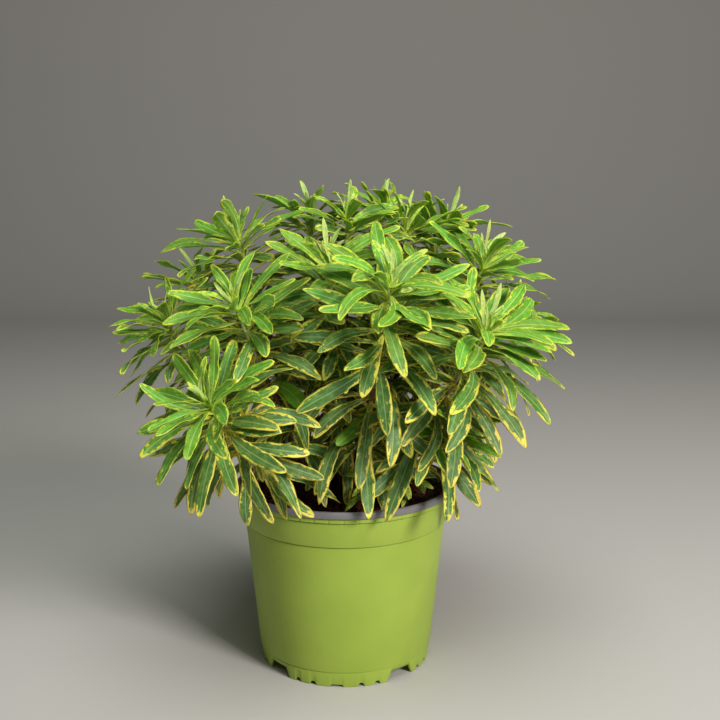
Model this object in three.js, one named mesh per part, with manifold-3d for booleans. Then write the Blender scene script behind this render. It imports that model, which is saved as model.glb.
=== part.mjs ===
// A variegated euphorbia in a 14 cm grower's pot: leafy stems that fan out of peat soil into a dome.
// Millimetres, +Z up, seen from -Y. The origin is on the floor, under the middle of the whole plant's box.

import * as THREE from "three";
import { mergeVertices } from "three/addons/utils/BufferGeometryUtils.js";
import Module from "manifold-3d";

const wasm = await Module();
wasm.setup();

// Driving sizes of the pot, a thin moulded one. Its name size is its width over the lip.
const potHeight = 116.5;
const lipRadius = 70;
const lipHeight = 4.4;
const beadRadius = 68.4;
const beadHeight = 3;
const collarRadius = 66.2;
const stepHeight = 93.1;
const bodyTopRadius = 63.9;
const bodyFootRadius = 55.8;
const skirtHeight = 9.9;
const footRadius = 54.3;
const footSlope = 2.5;
const grooveDepth = 0.6;
const edge = 0.5;
const lipEdge = 1.2;
const lipWidth = 2.4;
const potWall = 1.4;
const potFloor = 7;
const potFacets = 36;

// The skirt under the groove has four arches, with five small notches between each two.
const archCount = 4;
const archAngle = THREE.MathUtils.degToRad(-5 - 90 + 45);
const archWidth = 19;
const archHeight = 5.8;
const notchWidth = 3.4;
const notchHeight = 2;
const notchTurns = [-28, -16.7, 16.7, 28].map(THREE.MathUtils.degToRad);
const middleNotchWidth = 7;
const middleNotchHeight = 1.2;
const drainCount = 6;
const drainRadius = 3.5;
const drainCircle = 38;

// The soil stops a little under the lip. Touching pieces keep this clearance to each other.
const soilLevel = 107.5;
const soilFacets = 20;
const clearance = 0.3;

// Stems: thick where they leave the soil, slim at the growing tip.
const stemFootRadius = 2.5;
const stemTipRadius = 1.3;
const stemSides = 5;
const stemSteps = 6;
const stemDepth = 14;

// Leaves follow each other round the stem at the golden angle, youngest first from the tip. A leaf's
// age is 0 at the tip and 1 at the lowest leaf. It opens, bends and sags more with age. Angles are in
// radians, and lengths, widths, sag and sweep are shares of the leaf's full length.
const goldenAngle = THREE.MathUtils.degToRad(137.508);
const turnSpread = 0.25;
const grownAge = 0.28;
const youngestLength = 0.3;
const lengthSpread = 0.2;
const firstOpening = 0.15;
const openingWithAge = 1.5;
const openingSpread = 0.22;
const firstBend = 0.12;
const bendWithAge = 0.5;
const bendSpread = 0.3;
const sagWithAge = 0.2;
const sweepSpread = 0.2;
const rollSpread = 0.5;
const rollToLight = 0.6;
const youngestWidth = 0.165;
const widthWithAge = 0.033;

// A blade has a keel under its midrib, which starts this far inside the stem. An old leaf has more
// stations along it, and a stem's youngest leaves are taken one in two.
const keelDepth = 1.2;
const rootDepth = 1;
const oldStations = [0, 0.22, 0.5, 0.82, 1];
const youngStations = [0, 0.32, 0.74, 1];
const youngLeaves = 10;
const oldLeaves = 16;

// A leaf that would cross another is turned, lifted and shortened a little more at each try.
const leafTries = 30;
const leafRoom = 0.9;
const firstSwing = 0.1;
const swingPerTry = 0.024;
const shorterPerTry = 0.012;
const sameSize = 0.02;

// Each stem: where its growing tip is, seen from the pot's axis on the floor, what share of the
// tip's reach its foot has, how many leaves it carries, how long they get and how far down they go.
const stems = [
  { name: "stem_front_left_low", tip: [-73, -88, 183], fan: 0.36, leaves: 30, leafLength: 52, leafy: 52 },
  { name: "stem_front_middle", tip: [26, -80, 249], fan: 0.3, leaves: 34, leafLength: 54, leafy: 112 },
  { name: "stem_front_left_high", tip: [-61, -56, 234], fan: 0.3, leaves: 28, leafLength: 52, leafy: 84 },
  { name: "stem_front_right", tip: [79, -70, 222], fan: 0.26, leaves: 32, leafLength: 56, leafy: 84 },
  { name: "stem_centre_front", tip: [-8, -40, 256], fan: 0.3, leaves: 28, leafLength: 50, leafy: 118 },
  { name: "stem_left_high", tip: [-66, 2, 270], fan: 0.26, leaves: 26, leafLength: 50, leafy: 78 },
  { name: "stem_left", tip: [-108, -18, 220], fan: 0.3, leaves: 28, leafLength: 48, leafy: 70 },
  { name: "stem_top", tip: [1, 0, 281], fan: 0.28, leaves: 24, leafLength: 48, leafy: 74 },
  { name: "stem_top_right", tip: [39, 10, 276], fan: 0.28, leaves: 24, leafLength: 50, leafy: 74 },
  { name: "stem_right_high", tip: [85, -8, 252], fan: 0.26, leaves: 28, leafLength: 54, leafy: 80 },
  { name: "stem_right_low", tip: [64, -48, 158], fan: 0.52, leaves: 22, leafLength: 48, leafy: 40 },
  { name: "stem_back_top_right", tip: [64, 46, 274], fan: 0.24, leaves: 24, leafLength: 50, leafy: 72 },
  { name: "stem_back_top", tip: [24, 54, 284], fan: 0.28, leaves: 24, leafLength: 50, leafy: 70 },
  { name: "stem_back_top_left", tip: [-24, 42, 281], fan: 0.28, leaves: 24, leafLength: 50, leafy: 70 },
  { name: "stem_back_left", tip: [-96, 44, 238], fan: 0.3, leaves: 25, leafLength: 50, leafy: 74 },
  { name: "stem_back_left_low", tip: [-64, 92, 205], fan: 0.3, leaves: 24, leafLength: 50, leafy: 66 },
  { name: "stem_back_middle", tip: [-6, 98, 238], fan: 0.28, leaves: 24, leafLength: 50, leafy: 80 },
  { name: "stem_back_right", tip: [62, 92, 212], fan: 0.32, leaves: 24, leafLength: 50, leafy: 69 },
  { name: "stem_right_back", tip: [108, 34, 216], fan: 0.3, leaves: 25, leafLength: 50, leafy: 70 },
  { name: "stem_short_middle", tip: [17, -50, 132], fan: 0.85, leaves: 9, leafLength: 20, leafy: 14 },
  { name: "stem_short_right", tip: [38, -38, 130], fan: 0.8, leaves: 9, leafLength: 20, leafy: 12 },
];

const potMaterial = new THREE.MeshStandardMaterial({ color: 0x9fb84e, roughness: 0.5, metalness: 0 });
const soilMaterial = new THREE.MeshStandardMaterial({ color: 0x1c130d, roughness: 1, metalness: 0 });
const leafMaterial = new THREE.MeshStandardMaterial({ color: 0x6f9a45, roughness: 0.55, metalness: 0 });

// A closed geometry as a solid that can be joined and cut.
function solidFrom(geometry) {
  const bare = geometry.clone();
  bare.deleteAttribute("normal");
  bare.deleteAttribute("uv");
  const merged = mergeVertices(bare, 1e-4);
  const vertProperties = new Float32Array(merged.attributes.position.array);
  const triVerts = new Uint32Array(merged.index.array);
  return new wasm.Manifold(new wasm.Mesh({ numProp: 3, vertProperties, triVerts }));
}

// The largest body of a joined solid: a loose scrap is dropped and a sealed hollow is filled.
function largestBody(solid) {
  const bodies = solid.decompose();
  return bodies.reduce((best, body) => (body.volume() > best.volume() ? body : best));
}

function meshFrom(solid, name, material) {
  const data = solid.getMesh();
  const geometry = new THREE.BufferGeometry();
  geometry.setAttribute("position", new THREE.BufferAttribute(data.vertProperties, 3));
  geometry.setIndex(new THREE.BufferAttribute(data.triVerts, 1));
  geometry.computeVertexNormals();
  const mesh = new THREE.Mesh(geometry, material);
  mesh.name = name;
  return mesh;
}

// A closed profile of [radius, height] points turned round the pot's axis, which is +Z.
function turned(points, facets) {
  const profile = points.map(([radius, height]) => new THREE.Vector2(radius, height));
  return new THREE.LatheGeometry(profile, facets).rotateX(Math.PI / 2);
}

// A cutter with slanted sides, through the skirt at one angle round the pot.
function skirtCutter(width, height, angle) {
  const half = width / 2;
  const slant = height * 0.3;
  const outline = new THREE.Shape([
    new THREE.Vector2(-half, -1),
    new THREE.Vector2(half, -1),
    new THREE.Vector2(half - slant, height),
    new THREE.Vector2(-half + slant, height),
  ]);
  const depth = 12;
  const cutter = new THREE.ExtrudeGeometry(outline, { depth, bevelEnabled: false });
  cutter.rotateX(Math.PI / 2);
  cutter.translate(0, footRadius + depth / 2, 0);
  cutter.rotateZ(angle - Math.PI / 2);
  return solidFrom(cutter);
}

function buildPot() {
  const bodyInnerTop = bodyTopRadius - potWall;
  const collarInner = collarRadius - potWall;
  const shell = solidFrom(turned([
    [0, potFloor],
    [bodyFootRadius - potWall - footSlope, potFloor],
    [footRadius - potWall, 0],
    [footRadius, 0],
    [bodyFootRadius - grooveDepth / 2, skirtHeight - grooveDepth],
    [bodyFootRadius - grooveDepth, skirtHeight],
    [bodyFootRadius, skirtHeight + grooveDepth],
    [bodyTopRadius, stepHeight],
    [collarRadius - edge, stepHeight + edge],
    [collarRadius, potHeight - lipHeight - beadHeight],
    [beadRadius, potHeight - lipHeight - beadHeight + edge],
    [beadRadius, potHeight - lipHeight],
    [lipRadius, potHeight - lipEdge],
    [lipRadius - lipEdge, potHeight],
    [lipRadius - lipWidth, potHeight],
    [collarInner, potHeight - lipHeight],
    [bodyInnerTop, stepHeight - edge],
    [bodyFootRadius - potWall, potFloor + potWall],
    [0, potFloor + potWall],
  ], potFacets));

  const cutters = [];
  for (let arch = 0; arch < archCount; arch += 1) {
    const angle = archAngle + (arch * 2 * Math.PI) / archCount;
    const between = angle + Math.PI / archCount;
    cutters.push(skirtCutter(archWidth, archHeight, angle));
    cutters.push(skirtCutter(middleNotchWidth, middleNotchHeight, between));
    notchTurns.forEach((turn) => cutters.push(skirtCutter(notchWidth, notchHeight, between + turn)));
  }
  for (let drain = 0; drain < drainCount; drain += 1) {
    const angle = archAngle + (drain * 2 * Math.PI) / drainCount;
    const hole = new THREE.CylinderGeometry(drainRadius, drainRadius, 6, 6).rotateX(Math.PI / 2);
    hole.translate(drainCircle * Math.cos(angle), drainCircle * Math.sin(angle), potFloor);
    cutters.push(solidFrom(hole));
  }
  return shell.subtract(wasm.Manifold.union(cutters));
}

// The soil takes the pot's inner shape, less the clearance, with a plain hole for each stem.
function buildSoil(stemHoles) {
  const facetGap = clearance + lipRadius * (1 - Math.cos(Math.PI / potFacets));
  const bottom = potFloor + potWall + clearance;
  const profile = [
    [0, bottom],
    [bodyFootRadius - potWall - facetGap, bottom],
    [bodyTopRadius - potWall - facetGap, stepHeight - edge],
    [collarRadius - potWall - edge - facetGap, soilLevel - 2 * edge],
    [collarRadius - 6, soilLevel],
    [0, soilLevel],
  ];
  return solidFrom(turned(profile, soilFacets)).subtract(wasm.Manifold.union(stemHoles));
}

// The middle line of a stem: straight up out of the soil, then leaning out to its growing tip.
function stemCurve(stem) {
  const tip = new THREE.Vector3(...stem.tip);
  const foot = new THREE.Vector3(tip.x * stem.fan, tip.y * stem.fan, soilLevel - stemDepth);
  const rise = tip.z - foot.z;
  const reach = Math.hypot(tip.x, tip.y);
  const lean = 0.62 * Math.atan2(reach, tip.z - 100);
  const out = new THREE.Vector3(tip.x, tip.y, 0).divideScalar(Math.max(reach, 1));
  const ahead = new THREE.Vector3(0, 0, Math.cos(lean)).addScaledVector(out, Math.sin(lean));
  const low = foot.clone().lerp(tip, 0.1).setZ(foot.z + 0.4 * rise);
  const high = tip.clone().addScaledVector(ahead, -0.36 * rise);
  return new THREE.CubicBezierCurve3(foot, low, high, tip);
}

// Two directions across a stem at a point of its middle line, and the one along it.
function stemFrame(curve, t) {
  const along = curve.getTangent(t);
  const first = new THREE.Vector3(1, 0, 0).addScaledVector(along, -along.x).normalize();
  const second = new THREE.Vector3().crossVectors(along, first);
  return { place: curve.getPoint(t), along, first, second };
}

// A closed body through rings of as many points each, with both ends capped. Points of a ring that
// fall together become one, and the faces between them go.
function bodyThroughRings(rings) {
  const sides = rings[0].length;
  const corners = rings.flat();
  const same = corners.map((corner, i) => {
    const start = i - (i % sides);
    return start + corners.slice(start, start + sides).findIndex((other) => other.equals(corner));
  });
  const faces = [];
  const addFace = (...ids) => {
    const [a, b, c] = ids.map((id) => same[id]);
    if (a !== b && b !== c && c !== a) faces.push(a, b, c);
  };
  for (let ring = 0; ring < rings.length - 1; ring += 1) {
    for (let side = 0; side < sides; side += 1) {
      const a = ring * sides + side;
      const b = ring * sides + ((side + 1) % sides);
      addFace(a, b, b + sides);
      addFace(a, b + sides, a + sides);
    }
  }
  const last = (rings.length - 1) * sides;
  for (let side = 1; side < sides - 1; side += 1) {
    addFace(0, side + 1, side);
    addFace(last, last + side, last + side + 1);
  }
  const geometry = new THREE.BufferGeometry().setFromPoints(corners);
  geometry.setIndex(faces);
  return solidFrom(geometry);
}

function stemRing(curve, t, extra) {
  const { place, first, second } = stemFrame(curve, t);
  const radius = stemFootRadius + (stemTipRadius - stemFootRadius) * t + extra;
  return Array.from({ length: stemSides }, (_, side) => {
    const angle = (side * 2 * Math.PI) / stemSides;
    return place.clone()
      .addScaledVector(first, radius * Math.cos(angle))
      .addScaledVector(second, radius * Math.sin(angle));
  });
}

// The stem's second ring is just clear of the soil, so what is in the soil is straight.
function stemBody(stem, curve) {
  const clear = (stemDepth + 3) / (1.2 * (stem.tip[2] - soilLevel + stemDepth));
  const rings = [stemRing(curve, 0, 0)];
  for (let step = 0; step < stemSteps; step += 1) {
    rings.push(stemRing(curve, clear + ((1 - clear) * step) / (stemSteps - 1), 0));
  }
  const hole = [stemRing(curve, 0, clearance + 0.1), stemRing(curve, clear, clearance + 0.1)];
  hole[0].forEach((point) => point.setZ(point.z - clearance));
  return { body: bodyThroughRings(rings), hole: bodyThroughRings(hole) };
}

// A repeatable draw from 0 to 1 for one stem, one leaf and one purpose.
function draw(stem, leaf, purpose) {
  const value = Math.sin(stem * 127.1 + leaf * 311.7 + purpose * 74.7) * 43758.5453;
  return value - Math.floor(value);
}

// How one leaf sits: age runs from 0 at the growing tip to 1 at the lowest leaf. Later tries turn,
// lift and shorten the leaf more and more, until it is clear of all others.
function leafPlan(stem, index, leaf, attempt) {
  const age = leaf / (stem.leaves - 1);
  const grown = Math.min(1, age / grownAge);
  const swing = attempt === 0 ? 0 : firstSwing + swingPerTry * attempt;
  const turnBy = swing * (2 * draw(index, leaf, 20 + attempt) - 1);
  const liftBy = 0.8 * swing * (2 * draw(index, leaf, 60 + attempt) - 1);
  const spread = (purpose) => draw(index, leaf, purpose) - 0.5;
  const share = (youngestLength + (1 - youngestLength) * grown) * (1 + lengthSpread * spread(1));
  const length = stem.leafLength * share;
  return {
    down: stem.leafy * age ** 2,
    azimuth: index * 1.3 + leaf * goldenAngle + turnSpread * spread(2) + turnBy,
    opening: firstOpening + openingWithAge * age ** 0.6 + openingSpread * spread(3) + liftBy,
    bend: firstBend + bendWithAge * age + bendSpread * draw(index, leaf, 4),
    sag: sagWithAge * age * age,
    sweep: sweepSpread * spread(5),
    roll: rollSpread * spread(6),
    length: length * (1 - shorterPerTry * attempt),
    width: length * (youngestWidth + widthWithAge * grown),
  };
}

// The blade's half width along it, as a share of its greatest: slim at the root, widest past the middle.
function bladeShape(s) {
  return (Math.sin(Math.PI * s ** 1.3) ** 0.7 + 0.12 * Math.sqrt(1 - s)) / 1.07;
}

// The rings of a blade: a flat face over a keel, along an arched midrib that opens away from the
// stem, sags, sweeps sideways and turns its face to the light. Root and tip have no width.
function bladeRings(curve, stemLength, plan, stations) {
  const { place, along, first, second } = stemFrame(curve, 1 - plan.down / stemLength);
  const up = new THREE.Vector3(0, 0, 1);
  const out = first.clone().multiplyScalar(Math.cos(plan.azimuth))
    .addScaledVector(second, Math.sin(plan.azimuth));
  const side = new THREE.Vector3().crossVectors(out, along);
  return stations.map((s) => {
    const angle = plan.opening + plan.bend * s;
    const ahead = (Math.sin(angle) - Math.sin(plan.opening)) / plan.bend;
    const aside = (Math.cos(plan.opening) - Math.cos(angle)) / plan.bend;
    const face = along.clone().multiplyScalar(Math.sin(angle)).addScaledVector(out, -Math.cos(angle));
    const toLight = THREE.MathUtils.clamp(Math.atan2(side.dot(up), face.dot(up)), -1, 1);
    const roll = Math.min(1, s * 2) * (plan.roll + rollToLight * toLight);
    const across = side.clone().multiplyScalar(Math.cos(roll)).addScaledVector(face, Math.sin(roll));
    const over = face.clone().multiplyScalar(Math.cos(roll)).addScaledVector(side, -Math.sin(roll));
    const middle = place.clone()
      .addScaledVector(along, ahead * plan.length)
      .addScaledVector(out, aside * plan.length - rootDepth)
      .addScaledVector(side, plan.sweep * plan.length * s * s)
      .addScaledVector(up, -plan.sag * plan.length * s * s);
    const half = s === 0 || s === 1 ? 0 : (plan.width / 2) * bladeShape(s);
    const keel = middle.clone().addScaledVector(over, s === 1 ? 0 : -keelDepth);
    return [keel, middle.clone().addScaledVector(across, -half), middle.addScaledVector(across, half)];
  });
}

function boxesNear(a, b, room) {
  return [0, 1, 2].every((i) => a.min[i] < b.max[i] + room && b.min[i] < a.max[i] + room);
}

// Whether a solid keeps its room to every one of a list of solids.
function isClear(solid, others, room) {
  const box = solid.boundingBox();
  return others.every(
    (other) => !boxesNear(box, other.box, room) || solid.minGap(other.solid, room * 2) >= room,
  );
}

function obstacle(solid, owner) {
  return { solid, owner, box: solid.boundingBox() };
}

const curves = stems.map(stemCurve);
const stemBodies = stems.map((stem, index) => stemBody(stem, curves[index]));
const pot = buildPot();
const soil = buildSoil(stemBodies.map((each) => each.hole));

// The blades of every stem, each taken at the first try that is clear of all that is there already.
const obstacles = [obstacle(pot, -1), obstacle(soil, -1)];
stemBodies.forEach((each, index) => obstacles.push(obstacle(each.body, index)));
const joined = stems.map((stem, index) => {
  const curve = curves[index];
  const stemLength = curve.getLength();
  const pieces = [stemBodies[index].body];
  const ownOuter = [];
  const foreign = obstacles.filter((other) => other.owner !== index);
  const added = [];
  for (let leaf = 1; leaf < stem.leaves; leaf += leaf < youngLeaves ? 2 : 1) {
    const stations = leaf < oldLeaves ? youngStations : oldStations;
    for (let attempt = 0; attempt < leafTries; attempt += 1) {
      const plan = leafPlan(stem, index, leaf, attempt);
      const rings = bladeRings(curve, stemLength, plan, stations);
      const blade = bodyThroughRings(rings);
      const outer = bodyThroughRings(rings.slice(1));
      if (isClear(blade, foreign, leafRoom) && isClear(outer, ownOuter, clearance)) {
        pieces.push(blade);
        ownOuter.push(obstacle(outer, index));
        added.push(obstacle(blade, index));
        break;
      }
    }
  }
  obstacles.push(...added);
  return largestBody(wasm.Manifold.union(pieces)).simplify(sameSize);
});

const plant = new THREE.Group();
plant.add(meshFrom(pot, "pot", potMaterial));
plant.add(meshFrom(soil, "soil", soilMaterial));
stems.forEach((stem, index) => plant.add(meshFrom(joined[index], stem.name, leafMaterial)));

const whole = new THREE.Box3().setFromObject(plant);
const middle = whole.getCenter(new THREE.Vector3());
plant.position.set(-middle.x, -middle.y, -whole.min.z);

export default plant;
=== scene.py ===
# The looks of a variegated euphorbia in a 14 cm grower's pot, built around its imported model.
# Lengths are worked out in millimetres from the pot's axis on the floor, and put into meshes in metres.

import math

import bpy
import numpy as np
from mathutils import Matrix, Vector


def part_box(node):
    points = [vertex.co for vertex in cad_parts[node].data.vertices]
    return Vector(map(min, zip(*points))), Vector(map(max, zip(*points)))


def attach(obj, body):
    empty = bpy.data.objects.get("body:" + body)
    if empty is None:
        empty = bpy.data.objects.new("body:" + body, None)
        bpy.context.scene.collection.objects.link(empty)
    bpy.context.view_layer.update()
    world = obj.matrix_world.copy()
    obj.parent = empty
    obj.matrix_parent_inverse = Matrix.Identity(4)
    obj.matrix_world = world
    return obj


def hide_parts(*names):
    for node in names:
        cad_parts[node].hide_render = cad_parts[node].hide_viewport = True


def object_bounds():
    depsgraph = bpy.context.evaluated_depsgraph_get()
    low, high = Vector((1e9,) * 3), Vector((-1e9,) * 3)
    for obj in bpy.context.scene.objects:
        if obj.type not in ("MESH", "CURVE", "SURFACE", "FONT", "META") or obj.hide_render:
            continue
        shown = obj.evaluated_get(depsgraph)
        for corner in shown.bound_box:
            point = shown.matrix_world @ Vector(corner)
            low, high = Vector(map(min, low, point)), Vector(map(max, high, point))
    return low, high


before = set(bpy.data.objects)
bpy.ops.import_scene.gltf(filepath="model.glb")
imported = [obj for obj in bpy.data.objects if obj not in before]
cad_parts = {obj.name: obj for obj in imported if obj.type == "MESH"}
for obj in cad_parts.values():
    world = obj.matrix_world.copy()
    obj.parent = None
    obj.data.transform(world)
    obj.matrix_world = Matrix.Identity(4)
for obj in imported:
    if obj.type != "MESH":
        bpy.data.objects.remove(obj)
cad_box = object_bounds()


# The pot: a thin grower's pot of moulded polypropylene in two layers, green outside and grey inside.
# The lip is rolled out of the grey layer. The pot tapers, and stands on a skirt cut by arches.

POT_HEIGHT = 116.5
LIP_RADIUS = 70.0
LIP_HEIGHT = 4.4
LIP_WIDTH = 2.4
BEAD_RADIUS = 68.4
BEAD_HEIGHT = 3.0
COLLAR_RADIUS = 67.2
COLLAR_FOOT_RADIUS = 65.0
STEP_HEIGHT = 93.1
BODY_TOP_RADIUS = 64.2
BODY_FOOT_RADIUS = 55.8
SKIRT_HEIGHT = 9.9
FOOT_RADIUS = 54.3
GROOVE_DEPTH = 0.6
POT_WALL = 1.4
POT_FLOOR = 7.0
ARCH_COUNT = 4
ARCH_ANGLE = math.radians(-50)
ARCH_SIZE = (21.0, 6.7)
NOTCH_SIZE = (4.6, 2.3)
NOTCH_TURNS = np.radians([-27, -16, 16, 27])
MIDDLE_NOTCH_SIZE = (8.4, 1.5)
NICK_COUNT = 48
EDGE_ROUNDING = 0.5
CORNER_STEPS = 4
DRAIN_COUNT = 6
DRAIN_RADIUS = 3.5
DRAIN_CIRCLE = 38.0
DRAIN_SIDES = 48
CUT_PAST = 2.0

METRES = 0.001
pot_low, pot_high = np.array(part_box("pot"))
POT_AXIS = 500 * (pot_low + pot_high) * (1, 1, 0)        # half their sum, in millimetres


def linear(colour):
    """An sRGB hex colour as a linear RGBA colour."""
    parts = np.array([int(colour[i:i + 2], 16) for i in (1, 3, 5)]) / 255
    parts = np.where(parts <= 0.04045, parts / 12.92, ((parts + 0.055) / 1.055) ** 2.4)
    return (*parts, 1.0)


def add_node(material, kind, inputs, **settings):
    """Adds a shader node, sets its options, and gives its inputs values or other nodes' outputs. A
    node among them stands for its first output."""
    node = material.node_tree.nodes.new(kind)
    for name, value in settings.items():
        setattr(node, name, value)
    for name, value in inputs.items():
        if isinstance(value, bpy.types.Node):
            value = value.outputs[0]
        if isinstance(value, bpy.types.NodeSocket):
            material.node_tree.links.new(value, node.inputs[name])
        else:
            node.inputs[name].default_value = value
    return node


def new_material(name):
    """An empty node material with its Principled shader, which is returned with it."""
    material = bpy.data.materials.new(name)
    material.use_nodes = True
    return material, material.node_tree.nodes["Principled BSDF"]


def grid_faces(rows, columns, wrap=False):
    """The quads of a grid of points numbered row by row. Wrapped, its last column joins the first."""
    row, column = np.meshgrid(np.arange(rows - 1), np.arange(columns - (not wrap)), indexing="ij")
    first = row * columns + column
    second = row * columns + (column + 1) % columns
    return np.stack([first, second, second + columns, first + columns], axis=-1).reshape(-1, 4)


def closed_tube(rows, columns):
    """A tube whose first and last rows each shrink to one point: which points of its grid stay, and
    its quads and triangles."""
    keep = np.concatenate([[0], np.arange(columns, (rows - 1) * columns), [(rows - 1) * columns]])
    ring = np.arange(columns)
    after = (ring + 1) % columns
    start = np.stack([0 * ring, after + 1, ring + 1], axis=-1)
    last = 1 + (rows - 3) * columns
    end = np.stack([last + ring, last + after, 0 * ring + len(keep) - 1], axis=-1)
    return keep, grid_faces(rows - 2, columns, wrap=True) + 1, np.concatenate([start, end])


def add_piece(name, points, quads, tris, materials):
    """A smooth mesh object from points in millimetres round the pot's axis, and its faces."""
    mesh = bpy.data.meshes.new(name)
    places = (np.asarray(points).reshape(-1, 3) + POT_AXIS) * METRES
    mesh.from_pydata(places.tolist(), [], quads.tolist() + tris.tolist())
    for material in materials:
        mesh.materials.append(material)
    mesh.shade_smooth()
    piece = bpy.data.objects.new(name, mesh)
    bpy.context.scene.collection.objects.link(piece)
    return piece


def rounded(corners, radius, steps):
    """An open outline with each inner corner replaced by a quadratic curve between two points near it."""
    corners = np.array(corners, float)
    inner = corners[1:-1]
    before = corners[:-2] - inner
    after = corners[2:] - inner
    sides = np.stack([np.linalg.norm(before, axis=1), np.linalg.norm(after, axis=1)])
    reach = np.minimum(radius, 0.4 * sides.min(axis=0))
    start = inner + before * (reach / sides[0])[:, None]
    end = inner + after * (reach / sides[1])[:, None]
    t = np.linspace(0, 1, steps)[None, :, None]
    curve = (1 - t) ** 2 * start[:, None] + 2 * t * (1 - t) * inner[:, None] + t ** 2 * end[:, None]
    return np.concatenate([corners[:1], curve.reshape(-1, 2), corners[-1:]])


def skirt_cut(angle):
    """How high the skirt's lower edge is lifted at each angle: trapezoid arches, and notches between."""
    height = np.zeros_like(angle)
    for arch in range(ARCH_COUNT):
        centre = ARCH_ANGLE + arch * 2 * math.pi / ARCH_COUNT
        between = centre + math.pi / ARCH_COUNT
        openings = [(centre, ARCH_SIZE), (between, MIDDLE_NOTCH_SIZE)]
        openings += [(between + turn, NOTCH_SIZE) for turn in NOTCH_TURNS]
        for middle, (width, top) in openings:
            aside = np.abs((angle - middle + math.pi) % (2 * math.pi) - math.pi) * FOOT_RADIUS
            slant = 0.5 * top
            height = np.maximum(height, np.clip((width / 2 - aside) / slant, 0, 1) * top)
    return height


def pot_surface(columns=720):
    """A profile turned round the axis, from the middle of the underside over the lip to the middle of
    the floor. What lies under the floor is squeezed up by the skirt's cuts, and small upright nicks
    are left in the bead under the lip."""
    inner_foot = BODY_FOOT_RADIUS - POT_WALL
    lip_low = POT_HEIGHT - LIP_HEIGHT
    bead_low = lip_low - BEAD_HEIGHT
    outer = [
        (FOOT_RADIUS, 0),
        (BODY_FOOT_RADIUS - 0.3, SKIRT_HEIGHT - 0.25),
        (BODY_FOOT_RADIUS - GROOVE_DEPTH, SKIRT_HEIGHT - 0.15),
        (BODY_FOOT_RADIUS - GROOVE_DEPTH, SKIRT_HEIGHT + 0.15),
        (BODY_FOOT_RADIUS + 0.05, SKIRT_HEIGHT + 0.25),
        (BODY_TOP_RADIUS, STEP_HEIGHT - 0.5),
        (BODY_TOP_RADIUS - GROOVE_DEPTH, STEP_HEIGHT - 0.3),
        (BODY_TOP_RADIUS - GROOVE_DEPTH, STEP_HEIGHT + 0.05),
        (COLLAR_FOOT_RADIUS, STEP_HEIGHT + 0.15),
        (COLLAR_RADIUS, bead_low - 0.5),
        (COLLAR_RADIUS - GROOVE_DEPTH, bead_low - 0.3),
        (COLLAR_RADIUS - GROOVE_DEPTH, bead_low + 0.05),
        (BEAD_RADIUS, bead_low + 0.2),
        (BEAD_RADIUS, lip_low - 0.35),
        (BEAD_RADIUS - GROOVE_DEPTH, lip_low - 0.2),
        (BEAD_RADIUS - GROOVE_DEPTH, lip_low + 0.05),
    ]
    lip = [
        (LIP_RADIUS - 0.3, lip_low + 0.2),
        (LIP_RADIUS, lip_low + 1),
        (LIP_RADIUS, POT_HEIGHT - 1.2),
        (LIP_RADIUS - 1, POT_HEIGHT),
        (LIP_RADIUS - LIP_WIDTH, POT_HEIGHT),
        (COLLAR_RADIUS - 1 - POT_WALL, lip_low),
        (BODY_TOP_RADIUS - POT_WALL, STEP_HEIGHT - 0.6),
        (inner_foot, POT_FLOOR + POT_WALL),
        (0, POT_FLOOR + POT_WALL),
    ]
    under = [(0, POT_FLOOR), (inner_foot - 2.5, POT_FLOOR), (FOOT_RADIUS - POT_WALL, 0)]
    profile = rounded(under + outer + lip, EDGE_ROUNDING, CORNER_STEPS)
    grey_from = 1 + CORNER_STEPS * (len(under) - 1 + len(outer))
    angle = np.linspace(0, 2 * math.pi, columns, endpoint=False)
    radius = np.repeat(profile[:, :1], columns, axis=1)
    height = np.repeat(profile[:, 1:], columns, axis=1)
    on_bead = (radius > COLLAR_RADIUS) & (height > bead_low) & (height < lip_low)
    nick = np.arange(columns)[None, :] % (columns // NICK_COUNT) == 0
    radius = np.where(on_bead & nick, radius - GROOVE_DEPTH, radius)
    cut = skirt_cut(angle)[None, :]
    height = np.where(height < POT_FLOOR, cut + height * (1 - cut / POT_FLOOR), height)
    points = np.stack([radius * np.cos(angle), radius * np.sin(angle), height], axis=-1)
    keep, quads, tris = closed_tube(len(profile), columns)
    grey = np.concatenate([quads[:, 0], tris[:, 0]]) > grey_from * columns
    return points.reshape(-1, 3)[keep], quads, tris, grey


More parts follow.
